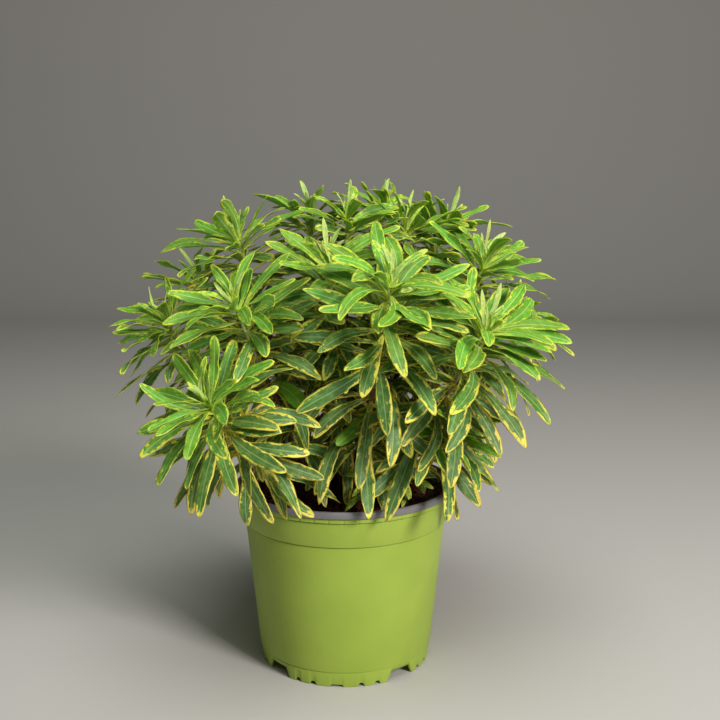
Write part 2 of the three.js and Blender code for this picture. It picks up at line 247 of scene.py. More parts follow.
def plastic_material(name, colour, shade, roughness):
    """Polypropylene: satin, a little mottled where the mould cooled, with the mould's fine turning
    marks round it and a few small dark scuffs of handling."""
    material, shader = new_material(name)
    place = add_node(material, "ShaderNodeTexCoord", {}).outputs["Object"]
    # Flow marks of about 30 mm.
    flow = add_node(material, "ShaderNodeTexNoise", {"Vector": place, "Scale": 33.0, "Detail": 3.0})
    # Turning marks 0.4 mm high and about 10 mm long.
    turned = add_node(material, "ShaderNodeMapping", {"Vector": place, "Scale": (100.0, 100.0, 2500.0)})
    marks = add_node(material, "ShaderNodeTexNoise", {"Vector": turned, "Scale": 1.0, "Detail": 2.0})
    # Scuffs about 1 mm wide and 3 mm high, in about one of three fields of 14 mm by 40 mm.
    field = add_node(material, "ShaderNodeMapping", {"Vector": place, "Scale": (70.0, 70.0, 25.0)})
    scuff = add_node(material, "ShaderNodeTexVoronoi", {"Vector": field, "Scale": 1.0})
    chosen = add_node(material, "ShaderNodeMapRange", {
        "Value": scuff.outputs["Color"], 1: 0.6, 2: 0.9, 3: 0.0, 4: 0.55})
    near = add_node(material, "ShaderNodeMapRange", {
        "Value": scuff.outputs["Distance"], 1: 0.06, 2: 0.02})
    scuffed = add_node(material, "ShaderNodeMath", {0: near, 1: chosen}, operation="MULTIPLY")
    amount = add_node(material, "ShaderNodeMapRange", {"Value": flow.outputs["Fac"], 1: 0.35, 2: 0.7})
    colours = add_node(material, "ShaderNodeMix", {
        0: amount, 6: linear(colour), 7: linear(shade)}, data_type="RGBA")
    worn = add_node(material, "ShaderNodeMix", {
        0: scuffed, 6: colours.outputs[2], 7: linear("#4E5A20")}, data_type="RGBA")
    gloss = add_node(material, "ShaderNodeMapRange", {
        "Value": flow.outputs["Fac"], 3: roughness - 0.06, 4: roughness + 0.06})
    bump = add_node(material, "ShaderNodeBump", {
        "Height": marks.outputs["Fac"], "Distance": 0.00004, "Strength": 0.5})
    material.node_tree.links.new(worn.outputs[2], shader.inputs["Base Color"])
    material.node_tree.links.new(gloss.outputs[0], shader.inputs["Roughness"])
    material.node_tree.links.new(bump.outputs[0], shader.inputs["Normal"])
    shader.inputs["Specular IOR Level"].default_value = 0.3
    return material


green_plastic = plastic_material("polypropylene_moulded_green", "#A0B84A", "#98B044", 0.45)
grey_plastic = plastic_material("polypropylene_moulded_grey", "#7F7C82", "#77747A", 0.45)
pot_points, pot_quads, pot_tris, pot_grey = pot_surface()
pot = add_piece("grower_pot", pot_points, pot_quads, pot_tris, [green_plastic, grey_plastic])
pot.data.polygons.foreach_set("material_index", pot_grey.astype(np.int32))


def cut_drains(pot):
    """Cuts the drain holes through the pot's floor: six short cylinders on one circle."""
    index = np.arange(DRAIN_SIDES)
    after = (index + 1) % DRAIN_SIDES
    low_centre = 0 * index + 2 * DRAIN_SIDES
    sides = np.stack([index, after, after + DRAIN_SIDES, index + DRAIN_SIDES], axis=-1)
    floor = np.stack([after, index, low_centre], axis=-1)
    roof = np.stack([index + DRAIN_SIDES, after + DRAIN_SIDES, low_centre + 1], axis=-1)
    angle = np.linspace(0, 2 * math.pi, DRAIN_SIDES, endpoint=False)
    for drain in range(DRAIN_COUNT):
        turn = ARCH_ANGLE + drain * 2 * math.pi / DRAIN_COUNT
        centre = np.array([DRAIN_CIRCLE * math.cos(turn), DRAIN_CIRCLE * math.sin(turn), 0])
        ring = centre + DRAIN_RADIUS * np.stack([np.cos(angle), np.sin(angle), 0 * angle], axis=-1)
        heights = (POT_FLOOR - CUT_PAST, POT_FLOOR + POT_WALL + CUT_PAST)
        ends = np.stack([ring + (0, 0, height) for height in heights])
        points = np.concatenate([ends.reshape(-1, 3), ends.mean(axis=1)])
        cutter = add_piece("drain_cutter", points, sides, np.concatenate([floor, roof]), [grey_plastic])
        modifier = pot.modifiers.new("drain", "BOOLEAN")
        modifier.operation = "DIFFERENCE"
        modifier.solver = "MANIFOLD"
        modifier.object = cutter
        graph = bpy.context.evaluated_depsgraph_get()
        carved = bpy.data.meshes.new_from_object(pot.evaluated_get(graph))
        pot.modifiers.clear()
        pot.data = carved
        bpy.data.objects.remove(cutter)


cut_drains(pot)
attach(pot, "root")
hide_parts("pot")


# The soil: moist dark peat with bits of bark, filled in loose and settled a little under the lip.
# It has hollows and heaps of a few millimetres, and crumbs lie on it.

SOIL_LEVEL = 107.5
CLEARANCE = 0.3
COLLAR_TAPER = 1.7


def draw(stem, leaf, purpose):
    """A repeatable number from 0 to 1 for one stem, one leaf and one purpose."""
    value = np.sin(stem * 127.1 + leaf * 311.7 + purpose * 74.7) * 43758.5453
    return value - np.floor(value)


def relief(x, y, size):
    """Smooth heaps and hollows from -1 to 1: sines of about that size along five turned directions."""
    turn = np.arange(5) * 1.3 + size
    wave = size * (1 + 0.17 * turn)
    phase = (x[..., None] * np.cos(turn) + y[..., None] * np.sin(turn)) * 2 * math.pi / wave
    return np.sin(phase + turn * 5).mean(axis=-1) * 1.6


def heaps(x, y):
    """How high the peat lies at a place: heaps and hollows of about 19 mm, 7 mm and 2.7 mm."""
    return 1.1 * relief(x, y, 19) + 0.7 * relief(x, y, 7) + 0.35 * relief(x, y, 2.7) - 0.4


def soil_surface(rings=70, columns=200):
    """A closed body: a polar grid whose height is the soil's level plus its heaps, which are lower at
    the rim, on a side that tapers with the pot."""
    angle = np.linspace(0, 2 * math.pi, columns, endpoint=False)
    top_radius = COLLAR_RADIUS - COLLAR_TAPER - POT_WALL - CLEARANCE
    radius = np.linspace(0, top_radius - 0.6, rings)[::-1]
    x = radius[:, None] * np.cos(angle)
    y = radius[:, None] * np.sin(angle)
    from_rim = np.clip((top_radius - radius) / 5, 0, 1)[:, None]
    top = np.stack([x, y, SOIL_LEVEL - 0.9 + heaps(x, y) * (0.3 + 0.7 * from_rim)], axis=-1)
    side_radius = np.array([
        0, BODY_FOOT_RADIUS - POT_WALL - 1, BODY_TOP_RADIUS - POT_WALL - 0.5, top_radius])[:, None]
    side_height = [POT_FLOOR + POT_WALL + CLEARANCE] * 2 + [STEP_HEIGHT - 0.6, SOIL_LEVEL - 2.6]
    side = np.stack([side_radius * np.cos(angle), side_radius * np.sin(angle),
                     np.repeat(np.array(side_height)[:, None], columns, axis=1)], axis=-1)
    points = np.concatenate([side, top])
    keep, quads, tris = closed_tube(len(points), columns)
    return points.reshape(-1, 3)[keep], quads, tris


def crumb_surface(count=700):
    """Crumbs of peat and bark: small squashed lumps with jittered corners, thrown over the soil."""
    number = np.arange(count)
    reach = (COLLAR_RADIUS - POT_WALL - 4) * np.sqrt(draw(number, 1, 90))
    turn = 2 * math.pi * draw(number, 2, 90)
    size = 0.5 + 1.5 * draw(number, 3, 90) ** 3
    x = reach * np.cos(turn)
    y = reach * np.sin(turn)
    centre = np.stack([x, y, SOIL_LEVEL - 1.2 + heaps(x, y) * 0.9 + 0.3 * size], axis=-1)
    rows, columns = 5, 6
    polar = np.linspace(0, math.pi, rows)[:, None]
    around = np.linspace(0, 2 * math.pi, columns, endpoint=False)[None, :]
    ball = np.stack([np.sin(polar) * np.cos(around), np.sin(polar) * np.sin(around),
                     np.cos(polar) + 0 * around], axis=-1)[::-1]
    corner = np.arange(rows * columns).reshape(rows, columns)
    jitter = 0.75 + 0.5 * draw(number[:, None, None], corner, 91)
    stretch = np.stack([1 + draw(number, 4, 90), 0.6 + 0.5 * draw(number, 5, 90), 0.6 + 0 * turn], axis=-1)
    lumps = ball[None] * jitter[..., None] * (size[:, None] * stretch)[:, None, None]
    spin = 2 * math.pi * draw(number, 6, 90)[:, None, None]
    turned = np.stack([lumps[..., 0] * np.cos(spin) - lumps[..., 1] * np.sin(spin),
                       lumps[..., 0] * np.sin(spin) + lumps[..., 1] * np.cos(spin), lumps[..., 2]], axis=-1)
    points = (turned + centre[:, None, None]).reshape(count, -1, 3)
    keep, quads, tris = closed_tube(rows, columns)
    offset = (number * len(keep))[:, None, None]
    return points[:, keep], (quads[None] + offset).reshape(-1, 4), (tris[None] + offset).reshape(-1, 3)


def peat_material():
    """Moist peat: nearly black, matt, with rusty bark bits."""
    material, shader = new_material("peat_moist")
    place = add_node(material, "ShaderNodeTexCoord", {}).outputs["Object"]
    # Bits of about 1.7 mm, a third of them bark, in clods of about 4.5 mm.
    crumb = add_node(material, "ShaderNodeTexVoronoi", {"Vector": place, "Scale": 600.0})
    clod = add_node(material, "ShaderNodeTexNoise", {"Vector": place, "Scale": 220.0, "Detail": 5.0})
    rust = add_node(material, "ShaderNodeMapRange", {"Value": crumb.outputs["Color"], 1: 0.45, 2: 0.75})
    dark = add_node(material, "ShaderNodeMix", {
        0: clod.outputs["Fac"], 6: linear("#0B0806"), 7: linear("#2A1C13")}, data_type="RGBA")
    colours = add_node(material, "ShaderNodeMix", {
        0: rust, 6: dark.outputs[2], 7: linear("#8A4524")}, data_type="RGBA")
    bump = add_node(material, "ShaderNodeBump", {
        "Height": clod.outputs["Fac"], "Distance": 0.001, "Strength": 0.8})
    material.node_tree.links.new(colours.outputs[2], shader.inputs["Base Color"])
    material.node_tree.links.new(bump.outputs[0], shader.inputs["Normal"])
    shader.inputs["Roughness"].default_value = 0.85
    return material


peat = peat_material()
soil = add_piece("peat_soil", *soil_surface(), [peat])
crumbs = add_piece("peat_crumbs", *crumb_surface(), [peat])
for piece in (soil, crumbs):
    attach(piece, "root")
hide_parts("soil")


# The leafy stems: each leaves the soil straight up and leans out to its growing tip. It is green near
# the tip and reddish brown below, where it has shed its leaves and shows their scars.

STEM_FOOT_RADIUS = 2.4
STEM_TIP_RADIUS = 1.1
STEM_DEPTH = 14.0
LEAN_CENTRE = 100.0
LEAN_SHARE = 0.62
SCAR_HEIGHT = 0.35

# Each stem: the name of its node, where its growing tip is, what share of the tip's reach its foot
# has, how many leaves it carries, how long they get and how far down they go.
STEMS = [
    ("stem_front_left_low", (-73, -88, 183), 0.36, 30, 52, 52),
    ("stem_front_middle", (26, -80, 249), 0.3, 34, 54, 112),
    ("stem_front_left_high", (-61, -56, 234), 0.3, 28, 52, 84),
    ("stem_front_right", (79, -70, 222), 0.26, 32, 56, 84),
    ("stem_centre_front", (-8, -40, 256), 0.3, 28, 50, 118),
    ("stem_left_high", (-66, 2, 270), 0.26, 26, 50, 78),
    ("stem_left", (-108, -18, 220), 0.3, 28, 48, 70),
    ("stem_top", (1, 0, 281), 0.28, 24, 48, 74),
    ("stem_top_right", (39, 10, 276), 0.28, 24, 50, 74),
    ("stem_right_high", (85, -8, 252), 0.26, 28, 54, 80),
    ("stem_right_low", (64, -48, 158), 0.52, 22, 48, 40),
    ("stem_back_top_right", (64, 46, 274), 0.24, 24, 50, 72),
    ("stem_back_top", (24, 54, 284), 0.28, 24, 50, 70),
    ("stem_back_top_left", (-24, 42, 281), 0.28, 24, 50, 70),
    ("stem_back_left", (-96, 44, 238), 0.3, 25, 50, 74),
    ("stem_back_left_low", (-64, 92, 205), 0.3, 24, 50, 66),
    ("stem_back_middle", (-6, 98, 238), 0.28, 24, 50, 80),
    ("stem_back_right", (62, 92, 212), 0.32, 24, 50, 69),
    ("stem_right_back", (108, 34, 216), 0.3, 25, 50, 70),
    ("stem_short_middle", (17, -50, 132), 0.85, 9, 20, 14),
    ("stem_short_right", (38, -38, 130), 0.8, 9, 20, 12),
]


def unit(vectors):
    """Each vector made one long."""
    return vectors / np.linalg.norm(vectors, axis=-1, keepdims=True)


def stem_curve(tip, fan):
    """The four points of a Bezier curve: straight up out of the soil, then leaning out to the tip, by
    a share of the angle at which the tip lies from a place on the pot's axis."""
    tip = np.array(tip, float)
    foot = np.array([tip[0] * fan, tip[1] * fan, SOIL_LEVEL - STEM_DEPTH])
    rise = tip[2] - foot[2]
    reach = math.hypot(tip[0], tip[1])
    lean = LEAN_SHARE * math.atan2(reach, tip[2] - LEAN_CENTRE)
    out = np.array([tip[0], tip[1], 0]) / max(reach, 1)
    ahead = np.array([0, 0, math.cos(lean)]) + out * math.sin(lean)
    low = foot + (tip - foot) * 0.1
    low[2] = foot[2] + 0.4 * rise
    return foot, low, tip - ahead * 0.36 * rise, tip


def along_curve(curve, t):
    """Places on a cubic Bezier curve at t, from 0 at its first point to 1 at its last."""
    t = np.asarray(t, float)[..., None]
    foot, low, high, tip = curve
    return (1 - t) ** 3 * foot + 3 * (1 - t) ** 2 * t * low + 3 * (1 - t) * t ** 2 * high + t ** 3 * tip


def stem_frame(curve, t):
    """Places on a stem, the direction along it there, and two directions across it."""
    step = 0.0001
    t = np.asarray(t, float)
    along = unit(along_curve(curve, np.minimum(t + step, 1)) - along_curve(curve, np.maximum(t - step, 0)))
    first = unit(np.array([1.0, 0, 0]) - along * along[..., :1])
    return along_curve(curve, t), along, first, np.cross(along, first)


def curve_length(curve):
    """The length of a curve, as the sum of 200 short chords."""
    return np.linalg.norm(np.diff(along_curve(curve, np.linspace(0, 1, 201)), axis=0), axis=1).sum()


def stem_surface(index, curve, length, leafy, rows=110, columns=14):
    """A tube that thins to its tip, ribbed by a spiral of leaf scars below its leaves, and closed at
    both ends. Also how far down the stem each point is, as a share of its length."""
    t = np.linspace(0, 1, rows)
    place, along, first, second = stem_frame(curve, t)
    angle = np.linspace(0, 2 * math.pi, columns, endpoint=False)
    down = (1 - t) * length
    scar = np.cos(angle[None, :] * 3 + down[:, None] * 1.1 + index) * np.cos(down[:, None] * 1.9 + index)
    bare = np.clip((down - 0.7 * leafy) / 15, 0, 1)
    radius = STEM_FOOT_RADIUS + (STEM_TIP_RADIUS - STEM_FOOT_RADIUS) * t
    radius = radius[:, None] - SCAR_HEIGHT * 0.5 + SCAR_HEIGHT * bare[:, None] * scar
    ring = np.cos(angle)[None, :, None] * first[:, None] + np.sin(angle)[None, :, None] * second[:, None]
    points = place[:, None] + radius[..., None] * ring
    points[[0, -1]] = place[[0, -1], None]
    return points, np.repeat(down / length, columns)


def bark_material():
    """A living stem: pale green skin near the tip, turning reddish brown and corky lower down."""
    material, shader = new_material("stem_skin")
    place = add_node(material, "ShaderNodeTexCoord", {}).outputs["Object"]
    down = add_node(material, "ShaderNodeAttribute", {}, attribute_name="down").outputs["Fac"]
    # Spots of about 4 mm.
    spots = add_node(material, "ShaderNodeTexNoise", {"Vector": place, "Scale": 260.0, "Detail": 3.0})
    uneven = add_node(material, "ShaderNodeMath", {
        0: spots.outputs["Fac"], 1: 0.35, 2: down}, operation="MULTIPLY_ADD")
    brown = add_node(material, "ShaderNodeMapRange", {"Value": uneven, 1: 0.2, 2: 0.5})
    colours = add_node(material, "ShaderNodeMix", {
        0: brown, 6: linear("#B2CB86"), 7: linear("#6A432F")}, data_type="RGBA")
    bump = add_node(material, "ShaderNodeBump", {
        "Height": spots.outputs["Fac"], "Distance": 0.0003, "Strength": 0.6})
    material.node_tree.links.new(colours.outputs[2], shader.inputs["Base Color"])
    material.node_tree.links.new(bump.outputs[0], shader.inputs["Normal"])
    shader.inputs["Roughness"].default_value = 0.55
    return material


# The leaves: long slim blades with a pale midrib, set on the stem in a spiral. Young ones are bright
# green with a lime margin, old ones grey green with a yellow margin that runs ragged into the blade.

GOLDEN_ANGLE = math.radians(137.508)
LEAF_TRIES = 30
SAME_PLACE = 0.05
HANGING_SHARE = 0.8
YOUNG_LEAVES = 10
FULL_GROWN_AGE = 0.28
ADDED_TRIES = 18
LEAF_CLEARANCE = 1.5
LEAST_ROOM = 1.4
ROOM_SEEN = 45.0
NEWEST_LEAVES = 6
SHOOT_LEAF_LENGTH = 30
SHOOT_RIPENESS = 0.15
BLADE_THICKNESS = 0.5
BLADE_COLUMNS = 7
BLADE_ROWS = 25
WIDEST = 0.7
LIGHT_FROM = np.array([0.0, -0.35, 0.7])
LIGHT_ASIDE = 0.6
TURN_TO_LIGHT = 0.75
MOST_TURN = 1.1
MAP_WIDTH = 20.0
NO_MARGIN = 6.0
ROUND_SHARE = 0.3
CLEAR_PATH = 40

# Two stems also bear a round leaf without a margin: the stem's name, how far below the tip the leaf
# sits, which way it points, how far it leans out, its length and its width.
ROUND_LEAVES = {
    "stem_front_left_high": (52, -0.8, 1.5, 38, 13),
    "stem_front_middle": (86, 4.2, 1.5, 34, 11),
}


def leaf_plan(index, leaf, attempt, least_grown=0.0):
    """How a leaf sits, by its number from the tip. Later tries turn, lift and shorten it more."""
    leaves, leaf_length, leafy = STEMS[index][3:]
    age = leaf / (leaves - 1)
    grown = least_grown + (1 - least_grown) * np.minimum(1, age / FULL_GROWN_AGE)
    swing = np.where(attempt == 0, 0, 0.1 + 0.024 * attempt)
    turn_by = swing * (2 * draw(index, leaf, 20 + attempt) - 1)
    lift_by = 0.8 * swing * (2 * draw(index, leaf, 60 + attempt) - 1)
    share = (0.3 + 0.7 * grown) * (1 + 0.2 * (draw(index, leaf, 1) - 0.5))
    length = leaf_length * share
    return {
        "age": age + 0 * attempt,
        "down": leafy * age ** 2 + 0 * attempt,
        "azimuth": index * 1.3 + leaf * GOLDEN_ANGLE + 0.25 * (draw(index, leaf, 2) - 0.5) + turn_by,
        "opening": 0.15 + 1.5 * age ** 0.6 + 0.22 * (draw(index, leaf, 3) - 0.5) + lift_by,
        "bend": 0.12 + 0.5 * age + 0.3 * draw(index, leaf, 4) + 0 * attempt,
        "sag": 0.2 * age * age + 0 * attempt,
        "sweep": 0.2 * (draw(index, leaf, 5) - 0.5) + 0 * attempt,
        "roll": 0.5 * (draw(index, leaf, 6) - 0.5) + 0 * attempt,
        "length": length * (1 - 0.012 * attempt),
        "width": length * (0.165 + 0.033 * grown) + 0 * attempt,
    }


def midrib(curve, stem_length, plan, s):
    """For each planned leaf, at each share s of its length: a place on the midrib, and the directions
    across the blade and out of its upper face. The midrib is an arc that opens away from the stem,
    sweeps sideways and sags, and the blade turns its face to the light."""
    value = {key: np.atleast_1d(part)[:, None, None] for key, part in plan.items()}
    s = np.asarray(s, float)[None, :, None]
    t = np.clip(1 - np.atleast_1d(plan["down"]) / stem_length, 0.12, 1)
    place, along, first, second = [part[:, None] for part in stem_frame(curve, t)]
    up = np.array([0, 0, 1.0])
    out = first * np.cos(value["azimuth"]) + second * np.sin(value["azimuth"])
    side = np.cross(out, along)
    angle = value["opening"] + value["bend"] * s
    ahead = (np.sin(angle) - np.sin(value["opening"])) / value["bend"]
    aside = (np.cos(value["opening"]) - np.cos(angle)) / value["bend"]
    face = along * np.sin(angle) - out * np.cos(angle)
    light = unit(LIGHT_FROM + LIGHT_ASIDE * unit(place * (1, 1, 0)))
    lit = [(part * light).sum(axis=-1, keepdims=True) for part in (side, face)]
    to_light = np.clip(np.arctan2(*lit), -MOST_TURN, MOST_TURN)
    roll = np.minimum(1, 2 * s) * (value["roll"] - TURN_TO_LIGHT * to_light)
    across = side * np.cos(roll) + face * np.sin(roll)
    over = face * np.cos(roll) - side * np.sin(roll)
    length = value["length"]
    middle = place + along * ahead * length + out * (aside * length - 1)
    middle = middle + side * value["sweep"] * length * s * s - up * value["sag"] * length * s * s
    return middle, across, over


def blade_shape(s):
    """Half the blade's width as a share of its greatest: it widens from a slim root to seven tenths of
    the length, and closes from there to a blunt tip."""
    opened = 0.2 + 0.8 * np.sin(0.5 * math.pi * np.minimum(1, s / WIDEST)) ** 1.5
    closing = np.clip((s - WIDEST) / (1 - WIDEST), 0, 1)
    return opened * (1 - closing ** 2.1) ** 0.62


def one_of(plan, number):
    """One leaf's plan out of a set of tries."""
    return {key: part[number:number + 1] for key, part in plan.items()}


def packed_leaf(index, curve, length, leaf, corners):
    """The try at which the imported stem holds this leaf, told by where its tip is; none if it was left
    out. A leaf that hangs past the pot's lip is made a fifth shorter."""
    plan = leaf_plan(index, leaf, np.arange(LEAF_TRIES))
    tips = midrib(curve, length, plan, [1.0])[0][:, 0]
    miss = np.linalg.norm(tips[:, None] - corners[None], axis=-1).min(axis=1)
    plan["length"] = np.where(tips[:, 2] < POT_HEIGHT - LIP_HEIGHT, HANGING_SHARE, 1) * plan["length"]
    return one_of(plan, miss.argmin()) if miss.min() < SAME_PLACE else None


def test_points(curve, length, plan):
    """Points over each blade, but for its root: its midrib and two lines beside it."""
    s = np.linspace(0.28, 1, 10)
    middle, across, _ = midrib(curve, length, plan, s)
    half = 0.4 * np.atleast_1d(plan["width"])[:, None, None] * blade_shape(s)[None, :, None]
    rows = np.stack([middle - across * half, middle, middle + across * half], axis=1)
    return rows.reshape(len(rows), -1, 3)


def added_leaf(index, curve, length, leaf, taken):
    """The try of an extra leaf with the most room round it, or none where all are crowded. A try that
    reaches into the pot's wall or the soil, below the lip or out of the CAD box counts as crowded."""
    plan = leaf_plan(index, leaf, np.arange(ADDED_TRIES), 0.8)
    plan["opening"] = plan["opening"] + 0.6 * np.maximum(0, 1 - plan["age"] / 0.5)
    plan["sweep"] = 2.2 * plan["sweep"]
    plan["sag"] = plan["sag"] * (0.6 + 1.2 * draw(index, leaf, 8))
    points = test_points(curve, length, plan)
    near = taken[np.linalg.norm(taken - points.reshape(-1, 3).mean(axis=0), axis=1) < ROOM_SEEN]
    squares = (points ** 2).sum(axis=-1)[..., None] + (near ** 2).sum(axis=-1) - 2 * points @ near.T
    room = np.sqrt(np.maximum(squares, 0)).min(axis=(1, 2))
    reach = np.hypot(points[..., 0], points[..., 1])
    height = points[..., 2]
    in_wall = (height < POT_HEIGHT + LEAF_CLEARANCE) & (reach < LIP_RADIUS + LEAF_CLEARANCE)
    in_wall &= reach > COLLAR_RADIUS - 4
    in_soil = (height < SOIL_LEVEL + LEAF_CLEARANCE) & (reach < LIP_RADIUS)
    low, high = np.array(cad_box) / METRES - POT_AXIS
    outside = ((points < low - 1) | (points > high + 1)).any(axis=-1) | (height < POT_HEIGHT - 2)
    room = np.where((in_wall | in_soil | outside).any(axis=1), 0, room)
    best = room.argmax()
    return (one_of(plan, best), points[best]) if room[best] > LEAST_ROOM else None


def round_leaf(leaf):
    """One of the round plain leaves, as a plan of a leaf of its own."""
    down, azimuth, opening, length, width = leaf
    plan = {"age": 0.0, "down": down, "azimuth": azimuth, "opening": opening, "bend": 0.4, "sag": 0.1,
            "sweep": 0.1, "roll": 0.0, "length": length, "width": width}
    return {key: np.array([float(part)]) for key, part in plan.items()}


def bud_plan(index):
    """The newest leaves, still narrow and upright round the growing tip, the inner ones the smallest.
    On most stems the newest of all stands above them as a thin spike."""
    number = np.arange(NEWEST_LEAVES)
    share = 0.22 + 0.05 * number + 0.3 * draw(index, number, 30) * (number < 2)
    spike = (0.52 + 0.12 * draw(index, number, 35)) * (number == 0) * (index > 2)
    length = STEMS[index][4] * np.maximum(share, spike)
    return {
        "age": -0.3 + 0.045 * number,
        "down": 0.2 * number,
        "azimuth": index * 1.3 - (number + 1) * GOLDEN_ANGLE,
        "opening": 0.03 + 0.06 * number + 0.14 * draw(index, number, 31),
        "bend": 0.1 + 0.3 * draw(index, number, 32),
        "sag": 0.0 * number,
        "sweep": 0.2 * (draw(index, number, 33) - 0.5),
        "roll": 0.4 * (draw(index, number, 34) - 0.5),
        "length": length,
        "width": 0.8 + 0.11 * length,
    }


def blade_surface(curve, stem_length, plan, seed, ripeness):
    """Each blade is a lens-shaped section carried along its midrib, which bows: an upper face from
    margin to margin and a lower face back. The faces fold up a little from the midrib, the margins
    wave, the blade curls and twists, and the width wanders by a few per cent. Row 0 and the last row
    are the root's and the tip's own points. Also what the leaf's material reads at each point."""
    t = np.linspace(0, 1, BLADE_ROWS)
    s = t + 0.3 * t * (1 - t)
    x = np.linspace(-1, 1, BLADE_COLUMNS)
    x = 0.45 * x + 0.55 * np.sin(0.5 * math.pi * x)
    ring = np.concatenate([x, x[-2:0:-1]])[None, None, :]
    under = np.concatenate([np.zeros(BLADE_COLUMNS), np.ones(BLADE_COLUMNS - 2)])[None, None, :]
    middle, across, over = midrib(curve, stem_length, plan, s)
    s = s[None, :, None]
    seed = np.asarray(seed)[:, None, None]
    reach = np.atleast_1d(plan["length"])[:, None, None]
    bow = 0.2 * reach * np.sin(math.pi * s)
    middle = middle + across * bow * (draw(seed * 50, 8, 7) - 0.5)
    middle = middle + over * 0.6 * bow * (draw(seed * 50, 9, 7) - 0.5)
    hand = 0.5 * np.sign(ring)
    width = 0.82 * np.atleast_1d(plan["width"])[:, None, None]
    age = np.clip(np.atleast_1d(plan["age"]), 0, 1.2)[:, None, None]
    waver = np.sin(9 * s + 40 * seed + 3 * hand) + 0.7 * np.sin(23 * s + 70 * seed + 9 * hand)
    waver = waver + 0.8 * np.sin(49 * s + 90 * seed + 17 * hand)
    half = 0.5 * width * blade_shape(s) * (1 + 0.04 * waver) * (s < 1) * (s > 0)
    swell = np.sqrt(1 - ring ** 2)
    thick = BLADE_THICKNESS * swell * (0.75 + 0.9 * (1 - s) ** 4)
    groove = np.exp(-(ring * half / 0.7) ** 2)
    fold = (0.3 - 0.14 * age + 0.16 * (draw(seed * 50, 3, 7) - 0.5)) * (1 - 0.5 * s)
    wave = np.sin(13 * s + 30 * seed + 4 * hand) * np.minimum(1, 3 * s) * np.minimum(1, width / 8)
    wave = wave * (0.3 + 0.9 * draw(seed * 50, 4, 7))
    curl = 0.13 * (draw(seed * 50, 5, 7) - 0.7) * reach
    height = fold * half * np.abs(ring) ** 1.4 + wave * ring ** 2 + curl * s ** 3
    lower = -0.5 * thick - 0.35 * groove * (1 - 0.7 * s)
    height = height + np.where(under > 0, lower, 0.5 * thick - 0.14 * groove)
    height = np.where(s < 1, height, curl)
    twist = ((draw(seed * 50, 6, 7) - 0.5) * (0.4 + 0.8 * age) * s)[..., None]
    turned = across[:, :, None] * np.cos(twist) + over[:, :, None] * np.sin(twist)
    raised = over[:, :, None] * np.cos(twist) - across[:, :, None] * np.sin(twist)
    points = middle[:, :, None] + turned * (ring * half)[..., None] + raised * height[..., None]
    values = {
        "margin": half * (1 - np.abs(ring)),
        "under": under,
        "age": ripeness * age - 0.3 * (np.atleast_1d(plan["age"])[:, None, None] < 0),
        "seed": seed,
        "u": 0.5 + ring * half / MAP_WIDTH,
        "v": s,
    }
    shape = points.shape[:3]
    return points, {key: np.broadcast_to(part, shape) for key, part in values.items()}


